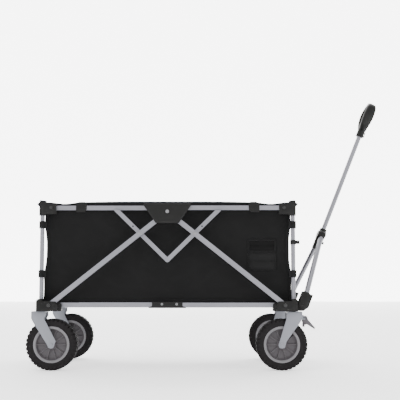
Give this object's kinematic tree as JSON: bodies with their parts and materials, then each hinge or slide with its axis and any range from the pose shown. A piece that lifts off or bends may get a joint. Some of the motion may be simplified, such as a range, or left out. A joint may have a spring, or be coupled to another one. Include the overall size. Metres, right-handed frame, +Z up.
{
  "type": "folding pull wagon",
  "caption": "Folding pull wagon with a fabric basket on a scissor frame, swivelling front wheels and a tilting telescopic loop handle.",
  "frame": {"origin": "on the ground, under the centre of the box of the whole object", "axes": "+X forward towards the handle, +Y to the wagon's left, +Z up"},
  "size_m": [1.3569, 0.552, 1.0533],
  "materials": {
    "silver_tube": "satin",
    "fork_steel": "satin",
    "zinc_fastener": "satin",
    "black_bolt": "satin",
    "black_fabric": "woven",
    "floor_board": "cloth covered",
    "black_plastic": "matte",
    "grey_plastic": "matte",
    "tyre_rubber": "matte"
  },
  "bodies": {
    "rear_frame": {"rear_posts": "silver_tube", "rear_upper_brackets": "black_plastic", "rear_lower_brackets": "black_plastic", "rear_cross_tubes": "silver_tube", "rear_forks": "fork_steel", "rear_axles": "fork_steel", "rear_fasteners": "black_bolt", "rear_straps": "black_fabric", "rear_panel": "black_fabric", "right_side_panel": "black_fabric", "left_side_panel": "black_fabric", "side_pocket": "black_fabric"},
    "front_frame": {"front_posts": "silver_tube", "front_upper_brackets": "black_plastic", "front_lower_brackets": "black_plastic", "front_cross_tubes": "silver_tube", "front_fasteners": "black_bolt", "front_straps": "black_fabric", "front_panel": "black_fabric", "handle_sockets": "black_plastic", "handle_catch": "black_plastic"},
    "rear_struts": {"rear_struts": "silver_tube", "rear_strut_fasteners": "zinc_fastener"},
    "front_struts": {"front_struts": "silver_tube", "front_strut_rivets": "zinc_fastener"},
    "rear_links": {"rear_links": "silver_tube"},
    "front_links": {"front_links": "silver_tube"},
    "cover_plates": {"cover_plates": "black_plastic"},
    "rear_outer_rails": {"rear_outer_rails": "silver_tube", "rear_knee_clips": "black_plastic"},
    "rear_inner_rails": {"rear_inner_rails": "silver_tube"},
    "front_outer_rails": {"front_outer_rails": "silver_tube", "front_knee_clips": "black_plastic"},
    "front_inner_rails": {"front_inner_rails": "silver_tube"},
    "rear_floor": {"rear_floor_rails": "silver_tube", "rear_floor_board": "floor_board", "floor_cloth": "black_fabric"},
    "front_floor": {"front_floor_rails": "silver_tube", "front_floor_board": "floor_board", "floor_hinge_plates": "black_plastic"},
    "handle": {"handle_yoke": "silver_tube", "handle_sleeves": "black_plastic", "handle_collar": "black_plastic"},
    "pole": {"handle_pole": "silver_tube", "handle_grip": "black_plastic"},
    "button": {"lock_button": "black_plastic"},
    "rear_right_wheel": {"rear_right_tyre": "tyre_rubber", "rear_right_rim": "grey_plastic"},
    "right_caster": {"front_right_fork": "fork_steel", "front_right_axle": "fork_steel"},
    "front_right_wheel": {"front_right_tyre": "tyre_rubber", "front_right_rim": "grey_plastic"},
    "right_pedal": {"front_right_pedal": "grey_plastic"},
    "rear_left_wheel": {"rear_left_tyre": "tyre_rubber", "rear_left_rim": "grey_plastic"},
    "left_caster": {"front_left_fork": "fork_steel", "front_left_axle": "fork_steel"},
    "front_left_wheel": {"front_left_tyre": "tyre_rubber", "front_left_rim": "grey_plastic"},
    "left_pedal": {"front_left_pedal": "grey_plastic"}
  },
  "joints": [
    {"name": "fold", "type": "hinge", "parent": "rear_frame", "child": "rear_struts", "pos_m": [-0.5944, 0, 0.24], "axis": [0, -1, 0], "range_deg": [0, 38], "deforming": ["right_side_panel", "left_side_panel", "side_pocket", "floor_cloth"]},
    {"name": "strut_peak", "type": "hinge", "parent": "rear_struts", "child": "front_struts", "pos_m": [-0.1564, 0, 0.588], "axis": [0, -1, 0], "range_deg": [-76.1, 0]},
    {"name": "strut_front_foot", "type": "hinge", "parent": "front_struts", "child": "front_frame", "pos_m": [0.2816, 0, 0.24], "axis": [0, -1, 0], "range_deg": [0, 38.1]},
    {"name": "rear_link_pin", "type": "hinge", "parent": "rear_struts", "child": "rear_links", "pos_m": [-0.25818, 0, 0.50713], "axis": [0, -1, 0], "range_deg": [-71.08, 0]},
    {"name": "front_link_pin", "type": "hinge", "parent": "front_struts", "child": "front_links", "pos_m": [-0.05462, 0, 0.50713], "axis": [0, -1, 0], "range_deg": [0, 71.08]},
    {"name": "cover_level", "type": "hinge", "parent": "rear_struts", "child": "cover_plates", "pos_m": [-0.1564, 0, 0.588], "axis": [0, -1, 0], "range_deg": [-38.1, 0]},
    {"name": "rear_rail_drop", "type": "hinge", "parent": "rear_frame", "child": "rear_outer_rails", "pos_m": [-0.5954, 0, 0.6045], "axis": [0, -1, 0], "range_deg": [-80.09, 0]},
    {"name": "rear_knee", "type": "hinge", "parent": "rear_outer_rails", "child": "rear_inner_rails", "pos_m": [-0.4814, 0, 0.617], "axis": [0, -1, 0], "range_deg": [0, 156.09]},
    {"name": "front_rail_drop", "type": "hinge", "parent": "front_frame", "child": "front_outer_rails", "pos_m": [0.2826, 0, 0.6045], "axis": [0, -1, 0], "range_deg": [0, 80.09]},
    {"name": "front_knee", "type": "hinge", "parent": "front_outer_rails", "child": "front_inner_rails", "pos_m": [0.1686, 0, 0.617], "axis": [0, -1, 0], "range_deg": [-156.09, 0]},
    {"name": "rear_floor_lift", "type": "hinge", "parent": "rear_frame", "child": "rear_floor", "pos_m": [-0.5944, 0, 0.24], "axis": [0, -1, 0], "range_deg": [0, 72.72]},
    {"name": "front_floor_lift", "type": "hinge", "parent": "front_frame", "child": "front_floor", "pos_m": [0.2816, 0, 0.24], "axis": [0, -1, 0], "range_deg": [-72.72, 0]},
    {"name": "rear_right_wheel_spin", "type": "hinge", "parent": "rear_frame", "child": "rear_right_wheel", "pos_m": [-0.5844, -0.23, 0.095], "axis": [0, 1, 0], "continuous": true},
    {"name": "right_caster_swivel", "type": "hinge", "parent": "front_frame", "child": "right_caster", "pos_m": [0.3156, -0.23, 0.21], "axis": [0, 0, 1], "continuous": true},
    {"name": "front_right_wheel_spin", "type": "hinge", "parent": "right_caster", "child": "front_right_wheel", "pos_m": [0.2686, -0.23, 0.095], "axis": [0, 1, 0], "continuous": true},
    {"name": "right_brake_pedal", "type": "hinge", "parent": "right_caster", "child": "right_pedal", "pos_m": [0.3516, -0.23, 0.194], "axis": [0, 1, 0], "range_deg": [0, 12]},
    {"name": "rear_left_wheel_spin", "type": "hinge", "parent": "rear_frame", "child": "rear_left_wheel", "pos_m": [-0.5844, 0.23, 0.095], "axis": [0, 1, 0], "continuous": true},
    {"name": "left_caster_swivel", "type": "hinge", "parent": "front_frame", "child": "left_caster", "pos_m": [0.3156, 0.23, 0.21], "axis": [0, 0, 1], "continuous": true},
    {"name": "front_left_wheel_spin", "type": "hinge", "parent": "left_caster", "child": "front_left_wheel", "pos_m": [0.2686, 0.23, 0.095], "axis": [0, 1, 0], "continuous": true},
    {"name": "left_brake_pedal", "type": "hinge", "parent": "left_caster", "child": "left_pedal", "pos_m": [0.3516, 0.23, 0.194], "axis": [0, 1, 0], "range_deg": [0, 12]},
    {"name": "handle_tilt", "type": "hinge", "parent": "front_frame", "child": "handle", "pos_m": [0.3476, 0, 0.243], "axis": [0, 1, 0], "range_deg": [-15, 65]},
    {"name": "pole_slide", "type": "slide", "parent": "handle", "child": "pole", "axis": [0.3697, 0, 0.9291], "range_m": [-0.22, 0]},
    {"name": "lock_button_press", "type": "slide", "parent": "handle", "child": "button", "axis": [-0.9291, 0, 0.3697], "range_m": [0, 0.003], "stiffness_N_per_m": 400}
  ],
  "couplings": [
    {"joint": "strut_peak", "follows": "fold", "ratio": -2},
    {"joint": "strut_front_foot", "follows": "fold", "ratio": 1},
    {"joint": "rear_link_pin", "follows": "fold", "ratio": -1.868},
    {"joint": "front_link_pin", "follows": "fold", "ratio": 1.868},
    {"joint": "cover_level", "follows": "fold", "ratio": -1},
    {"joint": "rear_rail_drop", "follows": "fold", "ratio": -2.105},
    {"joint": "rear_knee", "follows": "fold", "ratio": 4.105},
    {"joint": "front_rail_drop", "follows": "fold", "ratio": 2.105},
    {"joint": "front_knee", "follows": "fold", "ratio": -4.105},
    {"joint": "rear_floor_lift", "follows": "fold", "ratio": 1.911},
    {"joint": "front_floor_lift", "follows": "fold", "ratio": -1.911}
  ]
}
